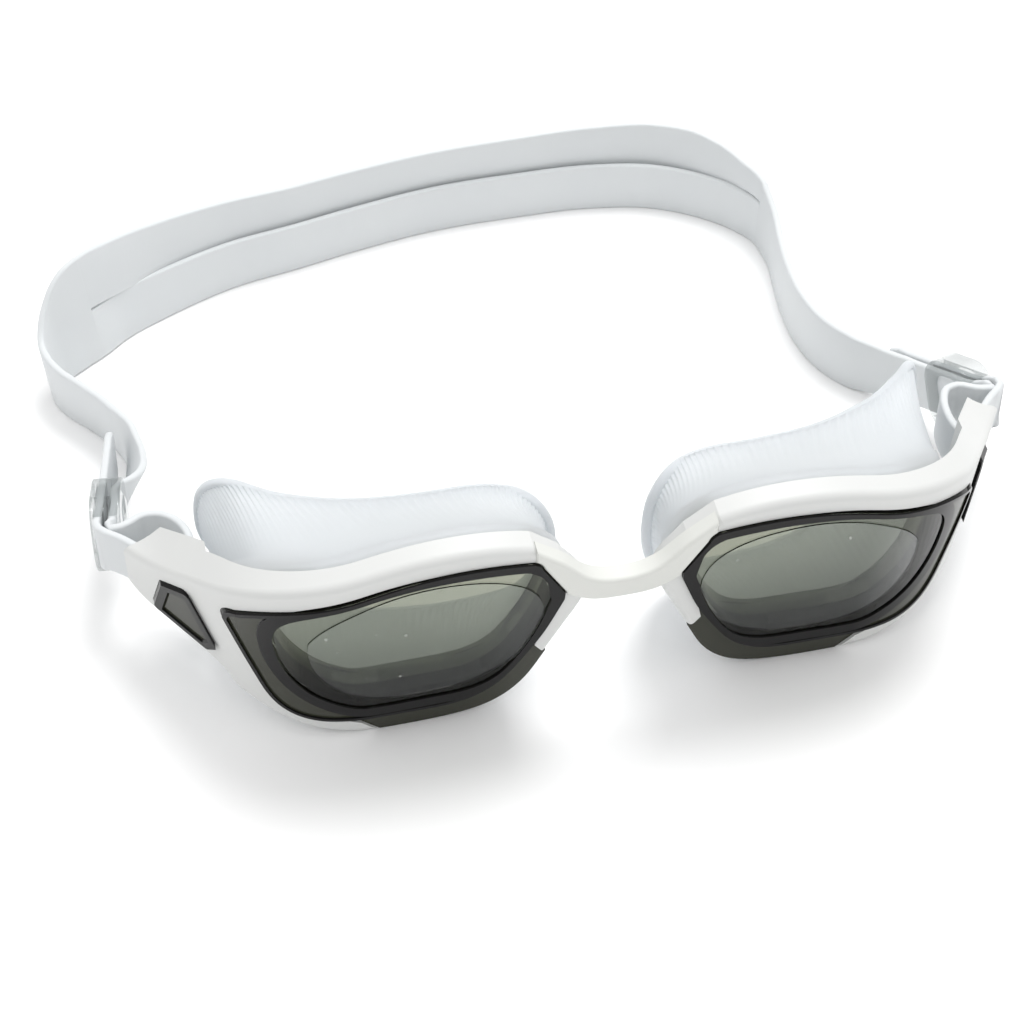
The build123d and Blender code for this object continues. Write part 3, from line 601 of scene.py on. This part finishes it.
def behind(x, depth):
    """How far back of the wing tips a layer of the wrapped front lies, at this place across."""
    radius = WRAP_RADIUS - depth
    turned = min(WRAP_ANGLE, asin(min(1.0, max(0.0, x - FRONT_FLAT) / radius)))
    past = max(0.0, x - FRONT_FLAT - radius * sin(WRAP_ANGLE))
    return WRAP_MIDDLE - radius * cos(turned) + past * tan(WRAP_ANGLE)


def round_eye(points):
    """A smooth closed line through the places, with as many steps between each two."""
    marks, count, line = [Vector(point) for point in points], len(points), []
    for k, (a, b) in enumerate(zip(marks, marks[1:] + marks[:1])):
        leaving, arriving = (b - marks[k - 1]) / 2, (marks[(k + 2) % count] - a) / 2
        line += [eased(a, b, leaving, arriving, step / ARC_STEPS) for step in range(ARC_STEPS)]
    return line


def inward(point):
    """The way to the middle of the eye, in the plane of the front."""
    way = EYE_MIDDLE - Vector((point[0], 0.0, point[-1]))
    return Vector((way.x, 0.0, way.z)).normalized()


def at_depth(line, depth, inset=0.0):
    """A ring of the gasket that follows the wrapped front at one depth."""
    ring = []
    for point in line:
        spot = Vector((point[0], 0.0, point[1])) + inward(point) * inset
        ring.append(Vector((spot.x, behind(spot.x, depth), spot.z)))
    return ring


def wall_ring(foot, lip, share, inset):
    """One ring of the wall, this share of the way from the foot to the lip. It is finely ribbed."""
    ring = []
    for count, (low, high) in enumerate(zip(foot, lip)):
        hollow = 4 * share * (1 - share) * (HOLLOW + HOLLOW_MORE * inward(low).x)
        sides = RIB_LEAST + (1 - RIB_LEAST) * abs(inward(high).x)
        ribs = RIB_RISE * sides * share ** 2 * cos(2 * pi * count / RIB_STEPS)
        ring.append(low.lerp(high, share) + inward(high) * (hollow + inset + ribs))
    return ring


def gasket(side):
    """A ring behind the frame, a ribbed wall that flares back, and a rolled lip against the face."""
    sign = {"left": -1, "right": 1}[side]
    corner = [LIP[1][0], LIP[1][1], LIP[1][2] - DROOP[side]]
    edge, lip = round_eye(RING), round_eye(LIP[:1] + [corner] + LIP[2:])
    foot = at_depth(edge, GASKET_REAR + FOOT_BACK, FOOT_INSET)
    shares = [WALL_END * step / WALL_STEPS for step in range(1, WALL_STEPS + 1)]
    rings = [at_depth(edge, GASKET_NEAR), at_depth(edge, GASKET_REAR), foot]
    rings += [wall_ring(foot, lip, share, 0.0) for share in shares]
    rings += [wall_ring(foot, lip, share, GASKET_WALL) for share in shares[::-1]]
    rings += [at_depth(round_eye(HOLE), depth) for depth in (GASKET_REAR + HOLE_BACK, GASKET_NEAR)]
    roll = []
    for step in range(ROLL_STEPS):
        angle = 2 * pi * step / ROLL_STEPS
        inset = ROLL_INSET + ROLL_ACROSS * cos(angle)
        forward = Vector((0.0, ROLL_BACK * (sin(angle) - 1), 0.0))
        roll.append([high + inward(high) * inset + forward for high in lip])
    mesh = bmesh.new()
    for tube in (rings, roll):
        on_face = [[on_front(sign * p.x, p.y, p.z) for p in ring] for ring in tube]
        skin_over(mesh, on_face, closed=True)
    piece = finished(f"face_gasket_{side}", mesh, GASKET, [f"gasket_{side}"])
    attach(piece, "eyepieces")


for side in ("left", "right"):
    gasket(side)

# ---------------------------------------------------------------- peel-off films
FILM_GAP = 0.04                       # the film lies just off its pane
for side in ("left", "right"):
    film_mesh = bmesh.new()
    film_mesh.from_mesh(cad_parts[f"lens_film_{side}"].data)
    bmesh.ops.remove_doubles(film_mesh, verts=film_mesh.verts, dist=0.01 * MM)
    bmesh.ops.translate(film_mesh, verts=film_mesh.verts, vec=(0, -FILM_GAP * MM, 0))
    film = finished(
        f"peel_off_film_{side}", film_mesh, FILM, [f"lens_film_{side}"], smooth=False)
    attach(film, "eyepieces")

# ---------------------------------------------------------------- stage, light and camera
bpy.ops.mesh.primitive_plane_add(size=6, location=(0, 0, 0))
floor = bpy.context.object
floor.name = "floor"
# A seamless sheet: matt, and as white as the air round it.
paper, tree = new_material("white paper")
matt = node(tree, "ShaderNodeBsdfDiffuse", {"Color": colour("#FDFDFD")})
surface(tree, matt.outputs["BSDF"])
floor.data.materials.append(paper)

# Even white light from all round, stronger from above.
world = bpy.data.worlds.new("soft studio")
bpy.context.scene.world = world
world.use_nodes = True
backdrop = world.node_tree.nodes["Background"]
backdrop.inputs["Color"].default_value = (1, 1, 1, 1)
toward = node(world.node_tree, "ShaderNodeTexCoord").outputs["Generated"]
height = node(world.node_tree, "ShaderNodeSeparateXYZ", {"Vector": toward}).outputs["Z"]
dome = node(world.node_tree, "ShaderNodeMapRange", {
    "Value": height, "To Min": 0.5, "To Max": 1.18})
world.node_tree.links.new(dome.outputs["Result"], backdrop.inputs["Strength"])
bpy.context.scene.view_settings.view_transform = "Standard"


def soft_light(name, spot, aim, size, power):
    """A round soft box, that many metres wide and watts strong."""
    data = bpy.data.lights.new(name, "AREA")
    data.shape, data.size, data.energy = "DISK", size, power
    lamp = bpy.data.objects.new(name, data)
    lamp.location = spot
    lamp.rotation_euler = (Vector(aim) - Vector(spot)).to_track_quat("-Z", "Y").to_euler()
    bpy.context.collection.objects.link(lamp)


soft_light("key", (0.28, 0.34, 1.12), (0, 0.02, 0), 0.6, 8.0)

# The camera looks down at 45 degrees, from in front and a little to the left.
camera_data = bpy.data.cameras.new("view")
camera_data.lens = 77.34
camera_data.sensor_width = 36.0
camera_data.clip_start = 0.01
camera = bpy.data.objects.new("view", camera_data)
turn, tilt = radians(-13.04), radians(45.09)
across = Vector((cos(turn), sin(turn), 0))
ahead = Vector((-sin(turn) * cos(tilt), cos(turn) * cos(tilt), -sin(tilt)))
above = across.cross(ahead)
stand = Matrix((across, above, -ahead)).transposed().to_4x4()
stand.translation = place(-76.5, -279.3, 307.1)
camera.matrix_world = stand
bpy.context.collection.objects.link(camera)
bpy.context.scene.camera = camera
